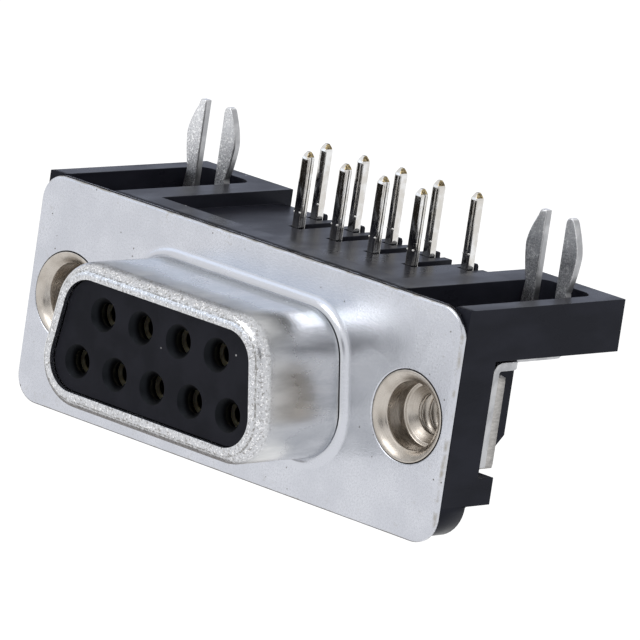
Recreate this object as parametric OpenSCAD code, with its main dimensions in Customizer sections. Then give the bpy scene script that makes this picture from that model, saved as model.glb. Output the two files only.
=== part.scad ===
// Nine-way D-subminiature socket connector with right-angle board tails.
// Frame: X to the right, Y back from the panel, Z up towards the circuit board.
// The origin is the middle of the D-shell, on the front face of its flange.

/* [Flange and D-shell] */
// Distance from the threaded holes' axes out to the ends of the flange
flange_end = 2.91; // [2.8:0.01:3.4]
// Height of the flange
flange_h = 12.5; // [12.3:0.1:14]
// Corner radius of the flange
flange_r = 1.5; // [0.8:0.1:3.5]
// Thickness of the drawn sheet
sheet_t = 0.4; // [0.3:0.05:0.5]
// Distance from the outer contacts' axes out to the D-shell's wide side
shell_side = 2.625; // [2.4:0.005:2.9]
// Distance from the D-shell's wide side out to the threaded holes' axes
screw_side = 4.33; // [4:0.01:4.8]
// Height of the D-shell outside
shell_h = 7.9; // [7.7:0.05:8.3]
// How far the D-shell stands out of the flange
shell_depth = 6.12; // [5.4:0.02:6.6]
// Outside corner radius of the D
shell_corner = 2.6; // [2.4:0.05:3]
// Lean of the D's two sides in degrees
shell_lean = 10; // [8:0.5:12]
// Radius of the bend from the flange into the D-shell
root_r = 0.6; // [0.4:0.05:0.8]
// Outside radius of the rolled front edge
nose_r = 0.8; // [0.6:0.05:0.85]
// Flat stretch of the front lip, inwards from its rolled edge
lip_flat = 0.1; // [0.05:0.01:0.3]

/* [Contacts] */
// Spacing of the contacts along a row
pitch = 2.77; // [2.7:0.01:2.8]
// Spacing of the two contact rows
row_gap = 2.84; // [2.6:0.02:2.9]
// Bore of the contact's socket
socket_d = 1.06; // [1.04:0.01:1.2]
// Outside diameter of the contact's socket
contact_d = 1.6; // [1.45:0.05:1.7]
// Depth of the contact's socket bore
socket_depth = 4.6; // [3.5:0.1:5]
// Width of the slit that parts the two tines
tine_slit = 0.16; // [0.1:0.02:0.3]
// Length of the slit
slit_length = 3.2; // [2:0.1:3.4]
// Diameter of the contact's neck
neck_d = 1; // [0.9:0.05:1.1]
// Width of a folded tail across the rows
tail_w = 0.5; // [0.4:0.02:0.6]
// Thickness of a folded tail, its two layers together
tail_t = 0.6; // [0.5:0.02:0.7]
// Radius of the tail's bend, at its middle
tail_bend = 1; // [0.8:0.05:1.2]
// Length of the tapered point of a tail
tip_length = 0.42; // [0.2:0.02:0.8]
// Width of the cut end of a tail
tip_flat = 0.2; // [0.1:0.02:0.3]
// Width of the seam where the folded sheet meets
seam_w = 0.08; // [0.04:0.01:0.12]
// Depth of that seam
seam_depth = 0.12; // [0.05:0.01:0.18]

/* [Board side] */
// Distance from the flange's front face to the first row of tails
tail_offset = 8.08; // [7.7:0.02:8.6]
// Distance between the two rows of tails
tail_row_gap = 2.84; // [2.6:0.02:3]
// Height of the board seat above the connector's centre
seat_z = 6.24; // [6.2:0.02:6.8]
// How far the tails reach past the board seat
tail_reach = 3.36; // [2.4:0.02:4]

/* [Insulators] */
// Diameter of the hole that lets a plug's pin in
entry_d = 1.24; // [1.22:0.02:1.4]
// Diameter of the countersink round that hole
mouth_d = 1.8; // [1.6:0.05:2]
// Depth of the countersink
mouth_depth = 0.36; // [0.2:0.02:0.5]
// Thickness of the wall in front of the contacts
web_t = 0.58; // [0.54:0.02:0.8]
// How far the insulator's face lies behind the front lip's face
face_recess = 0.34; // [0.1:0.02:0.38]
// How far the insulators' flanges stand out past the D-shell at each end
collar_side = 1.285; // [1.05:0.005:1.5]
// How far they stand out past the D-shell above and below
collar_top = 0.85; // [0.7:0.05:1]
// Thickness of the socket insulator's flange
collar_t = 1; // [0.7:0.05:1.2]
// Thickness of the rear insulator's flange
rear_collar_t = 0.6; // [0.4:0.05:0.7]
// Distance from the outer contacts' axes out to the side of the rear block
block_side = 2.76; // [1.5:0.02:3]
// Distance from a contact row's axes out to the top or bottom of the rear block
block_top = 1.78; // [1.2:0.02:1.96]
// How far the rear insulator reaches back from the flange's front face
rear_reach = 5; // [4:0.1:6]

/* [Housing] */
// Thickness of the plate behind the flange
plate_t = 2.5; // [2.2:0.05:3]
// Thickness of that plate along its lower edge
foot_t = 1.87; // [1.4:0.05:2.1]
// Radius of the plate's lower corners
plate_r = 2; // [1:0.1:3]
// Room in a wing's pocket on each side of the strap
pocket_side = 0.2; // [0.1:0.01:0.3]
// Room in the pocket behind the fork
pocket_room = 1.375; // [0.9:0.025:1.8]
// Thickness of the wall behind the pocket
pocket_end = 1.25; // [0.8:0.05:1.6]
// Corner radius of the pocket
pocket_r = 0.8; // [0.4:0.05:1.2]
// How far the comb plate lies below the board seat
comb_drop = 0.76; // [0.4:0.02:1]
// How far the comb plate reaches back past the last row of tails
comb_edge = 0.8; // [0.5:0.02:1.1]
// Depth of the rim along the flange, in front of the comb plate
rim_depth = 1.85; // [1.4:0.05:2.4]
// Room on each side of a tail in its slot in the comb
slot_side = 0.15; // [0.1:0.01:0.2]
// Thickness of the two cheeks beside the tails
cheek_t = 1; // [0.8:0.05:1.1]
// How far the cheeks reach back from the flange's front face
cheek_reach = 11; // [9.5:0.1:11.4]
// Cut-off at the lower rear corner of the cheeks
cheek_cut = 1.75; // [1:0.05:3]
// How far the ledges below the brackets reach back from the flange's front face
ledge_reach = 4.1; // [4.05:0.05:4.4]
// Height of the ledges
ledge_h = 1.45; // [1.2:0.05:1.6]
// Room between an insert's square foot and the ledge below it
ledge_gap = 0.3; // [0.1:0.05:0.5]
// Room between an insert's square foot and the cheek beside it
cheek_gap = 0.26; // [0.1:0.02:0.4]

/* [Threaded inserts] */
// Bore of the thread, at the bottom of its grooves
thread_d = 2.85; // [2.6:0.05:3.1]
// Diameter of the flared front rim
flare_d = 4.82; // [4.4:0.02:5]
// Outside diameter of the barrel
barrel_d = 4; // [3.9:0.02:4.1]
// Wall of the cup in front of the thread
cup_wall = 0.25; // [0.15:0.01:0.35]
// Depth of the cup
cup_depth = 1.75; // [0.8:0.05:2.2]
// Depth of the cup's countersink
flare_depth = 0.45; // [0.3:0.05:0.6]
// How far the square foot behind the bracket stands out past the barrel
foot_side = 0.45; // [0.3:0.01:0.5]
// Thickness of the square foot
insert_foot_t = 1.1; // [0.5:0.05:1.4]

/* [Board locks] */
// Thickness of the bracket sheet
lock_t = 0.45; // [0.35:0.01:0.5]
// Distance from the flange's front face to the middle of the fork's sheet
lock_offset = 9.5; // [9.2:0.05:9.8]
// Sheet left beside the insert's hole, on the inner side of the vertical leg
leg_side = 0.45; // [0.3:0.01:0.6]
// Sheet left below the insert's hole, at the leg's end
leg_foot = 0.16; // [0.1:0.02:0.4]
// Height from the top of an insert's foot to the bracket's bend
leg_top = 0.29; // [0.1:0.01:0.5]
// Outside radius of the bracket's bends
lock_bend = 0.6; // [0.55:0.05:1.1]
// Length of the wide shoulder of the bracket's horizontal leg
shoulder_length = 1.95; // [1.2:0.05:2.6]
// Width of the strap between the shoulder and the fork
strap_w = 3.3; // [3.1:0.05:3.4]
// Width of the gap between the prongs
prong_gap = 1.4; // [1.2:0.02:1.6]
// Width over both prongs at their root
prong_root = 2.9; // [2.6:0.05:3.1]
// Width over both prongs where they bulge
prong_bulge = 3.6; // [3.4:0.05:3.65]
// Width over both prongs at their tips
prong_tip = 2.3; // [2:0.05:2.6]
// Height of the bulge above the board seat
bulge_z = 2; // [1.6:0.05:2.4]
// How far the prongs reach past the board seat
prong_reach = 4; // [3.2:0.05:4.6]
// Depth of the gap between the prongs, below the board seat
gap_depth = 1.4; // [0.4:0.05:1.8]

/* [Fits] */
// Clearance round a moulded piece in its opening
fit = 0.1; // [0.06:0.01:0.12]
// Clearance round a pressed or riveted metal piece
close_fit = 0.04; // [0.03:0.01:0.06]

/* [Hidden] */
$fn = 64;

// The two rows of contacts: how many, their height and where their tails stand
wide_row = 5;
narrow_row = 4;
wide_row_z = -row_gap / 2;
narrow_row_z = row_gap / 2;
wide_tail_y = tail_offset + tail_row_gap;
narrow_tail_y = tail_offset;
function contact_x(i, count) = (i - (count - 1) / 2) * pitch;
contact_places = concat(
    [for (i = [0:wide_row - 1]) [contact_x(i, wide_row), wide_row_z, wide_tail_y, -1]],
    [for (i = [0:narrow_row - 1]) [contact_x(i, narrow_row), narrow_row_z, narrow_tail_y, 1]]);

// Widths, each worked out from the one before, from the contacts outwards
row_w = (wide_row - 1) * pitch;
shell_w = row_w + 2 * shell_side;
screw_gap = shell_w + 2 * screw_side;
flange_w = screw_gap + 2 * flange_end;
collar_w = shell_w + 2 * collar_side;
collar_h = shell_h + 2 * collar_top;
rear_block_w = row_w + 2 * block_side;
rear_block_h = row_gap + 2 * block_top;
lip_w = nose_r + lip_flat;
cup_d = barrel_d - 2 * cup_wall;
foot_w = barrel_d + 2 * foot_side;
slot_w = tail_w + 2 * slot_side;
pocket_w = strap_w + 2 * pocket_side;

// The D-shell's corners: centres, and the two angles between which each one turns
corner_low_x = shell_w / 2 - shell_corner;
corner_z = shell_h / 2 - shell_corner;
corner_high_x = corner_low_x - 2 * corner_z * tan(shell_lean);
d_corners = [
    [[corner_high_x, corner_z], shell_lean, 90],
    [[-corner_high_x, corner_z], 90, 180 - shell_lean],
    [[-corner_low_x, -corner_z], 180 - shell_lean, 270],
    [[corner_low_x, -corner_z], 270, 360 + shell_lean]];

// Depths along Y, from front to back
face_y = -shell_depth + face_recess;
cavity_y = face_y + web_t;
contact_front_y = cavity_y + close_fit;
collar_y = sheet_t + collar_t;
rear_collar_y = collar_y + rear_collar_t;
plate_y = sheet_t + plate_t;
leg_back_y = plate_y + lock_t;
insert_back_y = leg_back_y + insert_foot_t;
lock_front_y = lock_offset - lock_t / 2;
lock_back_y = lock_offset + lock_t / 2;
pocket_back_y = lock_back_y + pocket_room;
wing_reach = pocket_back_y + pocket_end;
comb_reach = wide_tail_y + comb_edge;

// Heights
strap_top_z = foot_w / 2 + leg_top + lock_bend;
strap_z = strap_top_z - lock_t;
wing_z = strap_top_z + fit;
wing_t = seat_z - wing_z;
comb_z = seat_z - comb_drop;
leg_end_z = -barrel_d / 2 - close_fit - leg_foot;
tail_end_z = seat_z + tail_reach;
ledge_top_z = -foot_w / 2 - ledge_gap;
ledge_bottom_z = ledge_top_z - ledge_h;

// Places across X
flange_x = flange_w / 2;
screw_x = screw_gap / 2;
leg_x = screw_x - barrel_d / 2 - close_fit - leg_side;
cheek_outer_x = screw_x - foot_w / 2 - cheek_gap;
wing_inner_x = cheek_outer_x - cheek_t;

plastic = [0.15, 0.15, 0.17];
tinned_steel = [0.77, 0.78, 0.81];
nickel = [0.72, 0.69, 0.64];
bright_nickel = [0.80, 0.79, 0.76];

// An upright outline made into a slab between two depths
module slab(y0, y1) {
    translate([0, y1, 0]) rotate([90, 0, 0]) linear_extrude(y1 - y0) children();
}

// A round bar or cone along Y
module rod(y0, y1, d0, d1 = undef) {
    translate([0, y0, 0]) rotate([-90, 0, 0])
        cylinder(h = y1 - y0, d1 = d0, d2 = is_undef(d1) ? d0 : d1);
}

module rounded_box_outline(w, h, r) {
    square([w - 2 * r, h], center = true);
    square([w, h - 2 * r], center = true);
    for (x = [-1, 1], y = [-1, 1])
        translate([x * (w / 2 - r), y * (h / 2 - r)]) circle(r);
}

// The D, grown outwards by grow from the shell's outside
module d_outline(grow) {
    r = shell_corner + grow;
    polygon([for (c = d_corners, a = [c[1], c[2]]) c[0] + r * [cos(a), sin(a)]]);
    for (c = d_corners) translate(c[0]) circle(r);
}

// Section of the drawn wall: x is outwards from the D, y is forwards from the flange.
// Its foot laps a little way into the flange's own sheet.
function arc(centre, r, a0, a1, steps = 6) =
    [for (i = [0:steps]) let (a = a0 + (a1 - a0) * i / steps) centre + r * [cos(a), sin(a)]];
root_lap = sheet_t / 2;
wall_section = concat(
    [[root_r + root_lap, 0]],
    arc([root_r, root_r], root_r, 270, 180),
    arc([-nose_r, shell_depth - nose_r], nose_r, 0, 90),
    [[-lip_w, shell_depth], [-lip_w, shell_depth - sheet_t]],
    arc([-nose_r, shell_depth - nose_r], nose_r - sheet_t, 90, 0),
    arc([root_r, root_r], root_r + sheet_t, 180, 270),
    [[root_r + root_lap, -sheet_t]]);

// One turn of the D, at a distance out from its outside and a height above the flange
corner_steps = 8;
bend_steps = 8;
function d_ring(out, up) =
    [for (c = d_corners, i = [0:corner_steps])
        let (a = c[1] + (c[2] - c[1]) * i / corner_steps, r = shell_corner + out)
        [c[0].x + r * cos(a), c[0].y + r * sin(a), up]];

// The section carried round the D as one closed skin
module drawn_wall() {
    rings = [for (p = wall_section) d_ring(p.x, p.y)];
    sections = len(rings);
    around = len(rings[0]);
    polyhedron(
        points = [for (ring = rings) each ring],
        faces = [for (k = [0:sections - 1], i = [0:around - 1])
            let (next = (k + 1) % sections, beside = (i + 1) % around)
            [k * around + i, next * around + i, next * around + beside, k * around + beside]]);
}

module at_screws() {
    for (side = [-1, 1]) translate([side * screw_x, 0, 0]) children();
}

module front_shell() {
    color(tinned_steel) {
        rotate([90, 0, 0]) drawn_wall();
        difference() {
            slab(0, sheet_t) difference() {
                rounded_box_outline(flange_w, flange_h, flange_r);
                polygon([for (p = d_ring(root_r, 0)) [p.x, p.y]]);
            }
            at_screws() rod(0, sheet_t, flare_d + 2 * close_fit, barrel_d + 2 * close_fit);
        }
    }
}

module socket_insulator() {
    inside_y = -shell_depth + nose_r;
    color(plastic) difference() {
        union() {
            slab(face_y, collar_y) d_outline(-lip_w - close_fit);
            slab(inside_y, collar_y) d_outline(-sheet_t - close_fit);
            slab(sheet_t, collar_y) square([collar_w, collar_h], center = true);
        }
        for (p = contact_places) translate([p[0], 0, p[1]]) {
            rod(face_y, face_y + mouth_depth, mouth_d, entry_d);
            rod(-shell_depth, collar_y, entry_d);
            rod(cavity_y, rear_collar_y, contact_d + 2 * fit);
        }
    }
}

module rear_insulator() {
    color(plastic) difference() {
        union() {
            slab(collar_y, rear_collar_y) square([collar_w, collar_h], center = true);
            slab(collar_y, rear_reach) square([rear_block_w, rear_block_h], center = true);
        }
        for (p = contact_places) translate([p[0], 0, p[1]])
            rod(0, rear_reach + neck_d, neck_d + 2 * close_fit);
    }
}

// Plan outline of one wing's pocket, round the strap and open towards the flange
module pocket_outline() {
    straight = pocket_back_y - pocket_r - sheet_t;
    translate([screw_x, sheet_t]) {
        translate([-pocket_w / 2, 0]) square([pocket_w, straight]);
        translate([pocket_r - pocket_w / 2, 0]) square([pocket_w - 2 * pocket_r, straight + pocket_r]);
        for (side = [-1, 1]) translate([side * (pocket_w / 2 - pocket_r), straight]) circle(pocket_r);
    }
}

module housing() {
    color(plastic) difference() {
        union() {
            housing_plate();
            translate([-flange_x, rear_collar_y, wing_z])
                cube([flange_w, comb_reach - rear_collar_y, comb_z - wing_z]);
            for (side = [0, 1]) mirror([side, 0, 0]) {
                translate([wing_inner_x, rear_collar_y, wing_z])
                    cube([flange_x - wing_inner_x, wing_reach - rear_collar_y, wing_t]);
                translate([wing_inner_x, rear_collar_y, ledge_bottom_z])
                    cube([flange_x - wing_inner_x, ledge_reach - rear_collar_y, ledge_h]);
                cheek();
            }
        }
        // Recess and window for the two insulators
        slab(0, rear_collar_y) square([collar_w + 2 * fit, collar_h + 2 * fit], center = true);
        slab(0, rear_reach) square([rear_block_w + 2 * fit, rear_block_h + 2 * fit], center = true);
        // The comb plate's level, in front of the plate's back
        translate([-wing_inner_x, sheet_t + rim_depth, comb_z])
            cube([2 * wing_inner_x, plate_y - sheet_t, 2 * comb_drop]);
        at_screws() rod(0, leg_back_y, barrel_d + 2 * close_fit);
        for (side = [0, 1]) mirror([side, 0, 0])
            translate([0, 0, wing_z]) linear_extrude(2 * wing_t) pocket_outline();
        for (p = contact_places) comb_slot(p[0], p[2]);
    }
}

// Plate behind the flange: square corners at the board, round ones below, thinner along its foot
module housing_plate() {
    bottom_z = -flange_h / 2 + fit;
    difference() {
        slab(sheet_t, plate_y) {
            translate([-flange_x, bottom_z + plate_r]) square([flange_w, seat_z - bottom_z - plate_r]);
            translate([plate_r - flange_x, bottom_z]) square([flange_w - 2 * plate_r, seat_z - bottom_z]);
            for (side = [-1, 1])
                translate([side * (flange_x - plate_r), bottom_z + plate_r]) circle(plate_r);
        }
        translate([-flange_w, sheet_t + foot_t, ledge_bottom_z - flange_h])
            cube([2 * flange_w, plate_t, flange_h]);
    }
}

// Side wall beside the bent tails, with its lower rear corner cut off
module cheek() {
    translate([wing_inner_x, 0, 0]) rotate([90, 0, 90]) linear_extrude(cheek_t)
        polygon([[rear_collar_y, comb_z], [rear_collar_y, ledge_bottom_z],
                 [cheek_reach - cheek_cut, ledge_bottom_z],
                 [cheek_reach, ledge_bottom_z + cheek_cut], [cheek_reach, comb_z]]);
}

// A slot that takes one tail, open at the comb's back edge
module comb_slot(x, y) {
    front_y = y - tail_t / 2 - close_fit;
    translate([x - slot_w / 2, front_y, wing_z])
        cube([slot_w, comb_reach + comb_edge - front_y, seat_z - wing_z]);
}

// A stamped contact: split socket, neck, and a folded tail bent up to the board.
// The seam of the fold faces right on the narrow row and left on the wide one.
module contact(number) {
    p = contact_places[number - 1];
    bend_z = p[1] + tail_bend;
    bore_end_y = contact_front_y + socket_depth;
    color(bright_nickel) translate([p[0], 0, 0]) {
        translate([0, 0, p[1]]) difference() {
            union() {
                rod(contact_front_y, collar_y, contact_d);
                rod(bore_end_y, rear_collar_y, neck_d);
            }
            rod(contact_front_y, bore_end_y, socket_d);
            translate([-tine_slit / 2, contact_front_y, -contact_d])
                cube([tine_slit, slit_length, 2 * contact_d]);
        }
        difference() {
            intersection() {
                rotate([90, 0, 90]) linear_extrude(tail_w, center = true) tail_side(p[1], p[2]);
                slab(0, p[2] + tail_t) tail_front(p[1]);
            }
            translate([p[3] * tail_w / 2 - seam_depth, p[2] - seam_w / 2, bend_z])
                cube([2 * seam_depth, seam_w, tail_end_z]);
        }
    }
}

// A tail seen from the side: x is depth, y is height; it starts inside the neck
module tail_side(row_z, tail_y) {
    half = tail_t / 2;
    centre = [tail_y - tail_bend, row_z + tail_bend];
    polygon(concat(
        [[collar_y, row_z - half]], arc(centre, tail_bend + half, 270, 360, bend_steps),
        [[tail_y + half, tail_end_z - tip_length], [tail_y + tip_flat / 2, tail_end_z],
         [tail_y - tip_flat / 2, tail_end_z], [tail_y - half, tail_end_z - tip_length]],
        arc(centre, tail_bend - half, 360, 270, bend_steps), [[collar_y, row_z + half]]));
}

// A tail seen from the front, bevelled to its cut end
module tail_front(row_z) {
    half = tail_w / 2;
    polygon([[-half, row_z - tail_t], [half, row_z - tail_t], [half, tail_end_z - tip_length],
             [tip_flat / 2, tail_end_z], [-tip_flat / 2, tail_end_z], [-half, tail_end_z - tip_length]]);
}

// A flared, threaded sleeve with a square foot, riveted through shell, housing and bracket
module threaded_insert() {
    color(nickel) difference() {
        union() {
            rod(0, sheet_t, flare_d, barrel_d);
            rod(0, insert_back_y, barrel_d);
            slab(leg_back_y, insert_back_y) rounded_box_outline(foot_w, foot_w, sheet_t);
        }
        rod(0, flare_depth, (flare_d + barrel_d) / 2, cup_d);
        rod(0, cup_depth, cup_d);
        rod(0, insert_back_y + thread_d, thread_d);
    }
}

// Ground bracket with a forked board lock, for the right-hand side.
// Its side profile is bent once behind the housing and once up into the fork.
module board_lock() {
    color(tinned_steel) intersection() {
        rotate([90, 0, 90]) linear_extrude(flange_x) lock_profile();
        union() {
            difference() {
                lock_leg();
                translate([screw_x, 0, 0]) rod(0, insert_back_y, barrel_d + 2 * close_fit);
            }
            lock_strap();
            lock_fork();
        }
    }
}

// The bent sheet seen from the side: x is depth, y is height
module lock_profile() {
    inner = lock_bend - lock_t;
    front = [plate_y + lock_bend, strap_top_z - lock_bend];
    back = [lock_back_y - lock_bend, strap_z + lock_bend];
    polygon(concat(
        [[plate_y, leg_end_z]], arc(front, lock_bend, 180, 90),
        arc([back[0], back[1]], inner, 270, 360),
        [[lock_front_y, seat_z + prong_reach], [lock_back_y, seat_z + prong_reach]],
        arc(back, lock_bend, 360, 270),
        arc(front, inner, 90, 180), [[leg_back_y, leg_end_z]]));
}

// Seen from the back: the leg that stands behind the housing
module lock_leg() {
    translate([leg_x, plate_y, leg_end_z])
        cube([flange_x - leg_x, lock_bend, strap_top_z - leg_end_z]);
}

// Seen from above: a wide shoulder at the bend, then the strap
module lock_strap() {
    leg_w = flange_x - leg_x;
    shoulder_y = leg_back_y + shoulder_length;
    translate([0, 0, strap_z]) linear_extrude(lock_bend + lock_t) {
        translate([leg_x, plate_y]) square([leg_w, shoulder_y - plate_y - lock_bend]);
        translate([leg_x + lock_bend, plate_y]) square([leg_w - 2 * lock_bend, shoulder_y - plate_y]);
        for (x = [leg_x + lock_bend, flange_x - lock_bend])
            translate([x, shoulder_y - lock_bend]) circle(lock_bend);
        translate([screw_x - strap_w / 2, plate_y]) square([strap_w, lock_back_y - plate_y]);
    }
}

// Seen from the front: two leaf-shaped prongs on one root
module lock_fork() {
    root_z = strap_z + lock_bend;
    gap_z = seat_z - gap_depth;
    tip_z = seat_z + prong_reach;
    wide_z = seat_z + bulge_z;
    narrow = prong_root / 2;
    translate([screw_x, 0, 0]) slab(lock_front_y, lock_back_y) {
        difference() {
            polygon([[-strap_w / 2, root_z], [strap_w / 2, root_z], [narrow, seat_z], [narrow, wide_z],
                     [-narrow, wide_z], [-narrow, seat_z]]);
            translate([-prong_gap / 2, gap_z]) square([prong_gap, tip_z - gap_z]);
            translate([0, gap_z]) circle(d = prong_gap);
        }
        for (side = [0, 1]) mirror([side, 0])
            polygon([[prong_gap / 2, seat_z], [narrow, seat_z], [prong_bulge / 2, wide_z - sheet_t],
                     [prong_bulge / 2, wide_z + sheet_t], [prong_tip / 2, tip_z - lock_t / 2],
                     [prong_tip / 2 - lock_t / 3, tip_z], [prong_gap / 2, tip_z]]);
    }
}

front_shell();
socket_insulator();
rear_insulator();
housing();
contact(1);  // contact_1
contact(2);  // contact_2
contact(3);  // contact_3
contact(4);  // contact_4
contact(5);  // contact_5
contact(6);  // contact_6
contact(7);  // contact_7
contact(8);  // contact_8
contact(9);  // contact_9
mirror([1, 0, 0]) board_lock();  // board_lock_left
board_lock();  // board_lock_right
translate([-screw_x, 0, 0]) threaded_insert();  // threaded_insert_left
translate([screw_x, 0, 0]) threaded_insert();  // threaded_insert_right
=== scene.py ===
"""Looks of a nine-way D-subminiature socket connector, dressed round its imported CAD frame.

Frame: X along the flange, Y back from the panel, Z up towards the circuit board.
Lengths below are millimetres and become metres where a mesh is made.
"""

from math import atan2, ceil, cos, degrees, hypot, pi, radians, sin, tan

import bmesh
import bpy
from mathutils import Matrix, Vector
from mathutils.geometry import delaunay_2d_cdt

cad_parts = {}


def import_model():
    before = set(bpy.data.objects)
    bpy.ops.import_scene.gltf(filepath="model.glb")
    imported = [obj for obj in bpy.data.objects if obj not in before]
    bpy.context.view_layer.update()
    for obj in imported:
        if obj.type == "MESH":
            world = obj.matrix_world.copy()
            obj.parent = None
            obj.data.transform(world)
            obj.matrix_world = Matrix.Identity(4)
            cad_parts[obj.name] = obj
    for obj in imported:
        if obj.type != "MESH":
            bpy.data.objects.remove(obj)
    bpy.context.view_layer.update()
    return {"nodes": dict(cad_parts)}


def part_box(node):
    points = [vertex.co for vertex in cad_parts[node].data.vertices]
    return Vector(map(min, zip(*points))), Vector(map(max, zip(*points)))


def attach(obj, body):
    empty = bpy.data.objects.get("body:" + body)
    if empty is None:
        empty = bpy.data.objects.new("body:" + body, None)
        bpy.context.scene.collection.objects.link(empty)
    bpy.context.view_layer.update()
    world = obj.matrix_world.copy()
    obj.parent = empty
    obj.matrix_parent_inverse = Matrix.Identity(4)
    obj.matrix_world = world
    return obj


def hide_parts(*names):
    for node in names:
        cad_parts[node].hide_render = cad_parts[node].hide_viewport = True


MM = 0.001
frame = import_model()


def size_of(node):
    """Lowest and highest corner of a CAD node, in millimetres."""
    low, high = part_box(node)
    return Vector(low) / MM, Vector(high) / MM


shell_low, shell_high = size_of("front_shell")
_, housing_high = size_of("housing")
insert_low, insert_high = size_of("threaded_insert_right")
lock_low, lock_high = size_of("board_lock_right")
wide_low, wide_high = size_of("contact_1")
wide_next_low, _ = size_of("contact_2")

# Sizes shared by several pieces or by a piece and its look
SHEET_T = 0.4
FLANGE_W = shell_high.x - shell_low.x
FLANGE_H = shell_high.z - shell_low.z
FLANGE_R = 1.5
SCREW_X = (insert_low.x + insert_high.x) / 2
SEAT_Z = housing_high.z
PITCH = wide_next_low.x - wide_low.x
ROW_GAP = 2.84
CONTACT_D = wide_high.x - wide_low.x
TAIL_END_Z = wide_high.z
TAIL_T = 0.6
TAIL_W = 0.5
SOCKET_SUNK = 0.45
LOCK_T = 0.45
LOCK_PALE_Z = 8.6
THREAD_CREST_R, THREAD_ROOT_R, THREAD_PITCH = 1.085, 1.425, 0.635

# The drawn D
SHELL_DEPTH = -shell_low.y
SHELL_W = 16.33
SHELL_H = 7.9
SHELL_CORNER = 2.6
SHELL_LEAN = radians(10)
ROOT_R = 0.6
NOSE_R = 0.8
LIP_W = 0.9


# ---------------------------------------------------------------- mesh helpers

def arc(centre, r, start, stop, steps):
    """Points on an arc in a plane; the angles are in degrees."""
    turns = [radians(start + (stop - start) * i / steps) for i in range(steps + 1)]
    return [(centre[0] + r * cos(a), centre[1] + r * sin(a)) for a in turns]


def round_ring(r, y, steps=96, x=0.0):
    """A circle round an axis that runs back through x, set at a depth."""
    return [(x + r * cos(2 * pi * i / steps), y, r * sin(2 * pi * i / steps)) for i in range(steps)]


def skin(rings, closed_along=False, cap_start=False, cap_end=False):
    """Vertices and faces of a skin stretched over closed rings of equal length."""
    around = len(rings[0])
    verts = [p for ring in rings for p in ring]
    faces = []
    last = len(rings) if closed_along else len(rings) - 1
    for k in range(last):
        a, b = k * around, (k + 1) % len(rings) * around
        for i in range(around):
            j = (i + 1) % around
            faces.append((a + i, a + j, b + j, b + i))
    if cap_start:
        faces.append(tuple(range(around - 1, -1, -1)))
    if cap_end:
        faces.append(tuple(range(len(verts) - around, len(verts))))
    return verts, faces


def flat_fill(outer, holes, lift):
    """Triangles between an outline and its holes, lifted from the plane by lift(x, z)."""
    points, edges = [], []
    for loop in [outer] + holes:
        first = len(points)
        points += [Vector(p) for p in loop]
        edges += [(first + i, first + (i + 1) % len(loop)) for i in range(len(loop))]
    found, _, triangles, *_ = delaunay_2d_cdt(points, edges, [], 1, 1e-7)
    faces = []
    for t in triangles:
        middle = sum((found[i] for i in t), Vector((0, 0))) / len(t)
        if not any(inside(middle, hole) for hole in holes):
            faces.append(tuple(t))
    return [lift(p.x, p.y) for p in found], faces


def inside(p, loop):
    """True where a point lies within a closed outline."""
    hit = False
    for i in range(len(loop)):
        (x0, y0), (x1, y1) = loop[i - 1], loop[i]
        if (y0 > p.y) != (y1 > p.y) and p.x < (x1 - x0) * (p.y - y0) / (y1 - y0) + x0:
            hit = not hit
    return hit


def make_piece(name, parts, materials, nodes, sharp=35, mirror_x=False):
    """One object from several (verts, faces, material index) parts, standing for CAD nodes."""
    verts, faces, indices = [], [], []
    for part_verts, part_faces, index in parts:
        first = len(verts)
        verts += [Vector(v) * MM for v in part_verts]
        faces += [tuple(first + i for i in f) for f in part_faces]
        indices += [index] * len(part_faces)
    if mirror_x:
        for v in verts:
            v.x = -v.x
    mesh = bpy.data.meshes.new(name)
    mesh.from_pydata(verts, [], faces)
    mesh.polygons.foreach_set("material_index", indices)
    for material in materials:
        mesh.materials.append(material)
    bm = bmesh.new()
    bm.from_mesh(mesh)
    bmesh.ops.remove_doubles(bm, verts=bm.verts, dist=1e-7)
    bmesh.ops.dissolve_degenerate(bm, edges=bm.edges, dist=1e-8)
    bmesh.ops.recalc_face_normals(bm, faces=bm.faces)
    bm.to_mesh(mesh)
    bm.free()
    for polygon in mesh.polygons:
        polygon.use_smooth = True
    mesh.set_sharp_from_angle(angle=radians(sharp))
    piece = bpy.data.objects.new(name, mesh)
    bpy.context.scene.collection.objects.link(piece)
    weigh_normals(piece)
    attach(piece, "root")
    if nodes:
        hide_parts(*nodes)
    return piece


def weigh_normals(piece):
    """Keeps flat faces flat in shading beside their rounded edges."""
    weighted = piece.modifiers.new("even_normals", "WEIGHTED_NORMAL")
    weighted.weight = 90
    weighted.keep_sharp = True


def soften_edges(node, width):
    """Rounds the edges of a CAD node, whose own mesh stays as it is."""
    piece = frame["nodes"][node]
    weld = piece.modifiers.new("weld", "WELD")
    weld.merge_threshold = 1e-7
    flat = piece.modifiers.new("flat_faces", "DECIMATE")
    flat.decimate_type = "DISSOLVE"
    flat.angle_limit = radians(0.6)
    bevel = piece.modifiers.new("edges", "BEVEL")
    bevel.width = width * MM
    bevel.segments = 2
    bevel.limit_method = "ANGLE"
    bevel.angle_limit = radians(40)
    bevel.harden_normals = False
    weigh_normals(piece)
    return piece


# ---------------------------------------------------------------- materials

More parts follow.
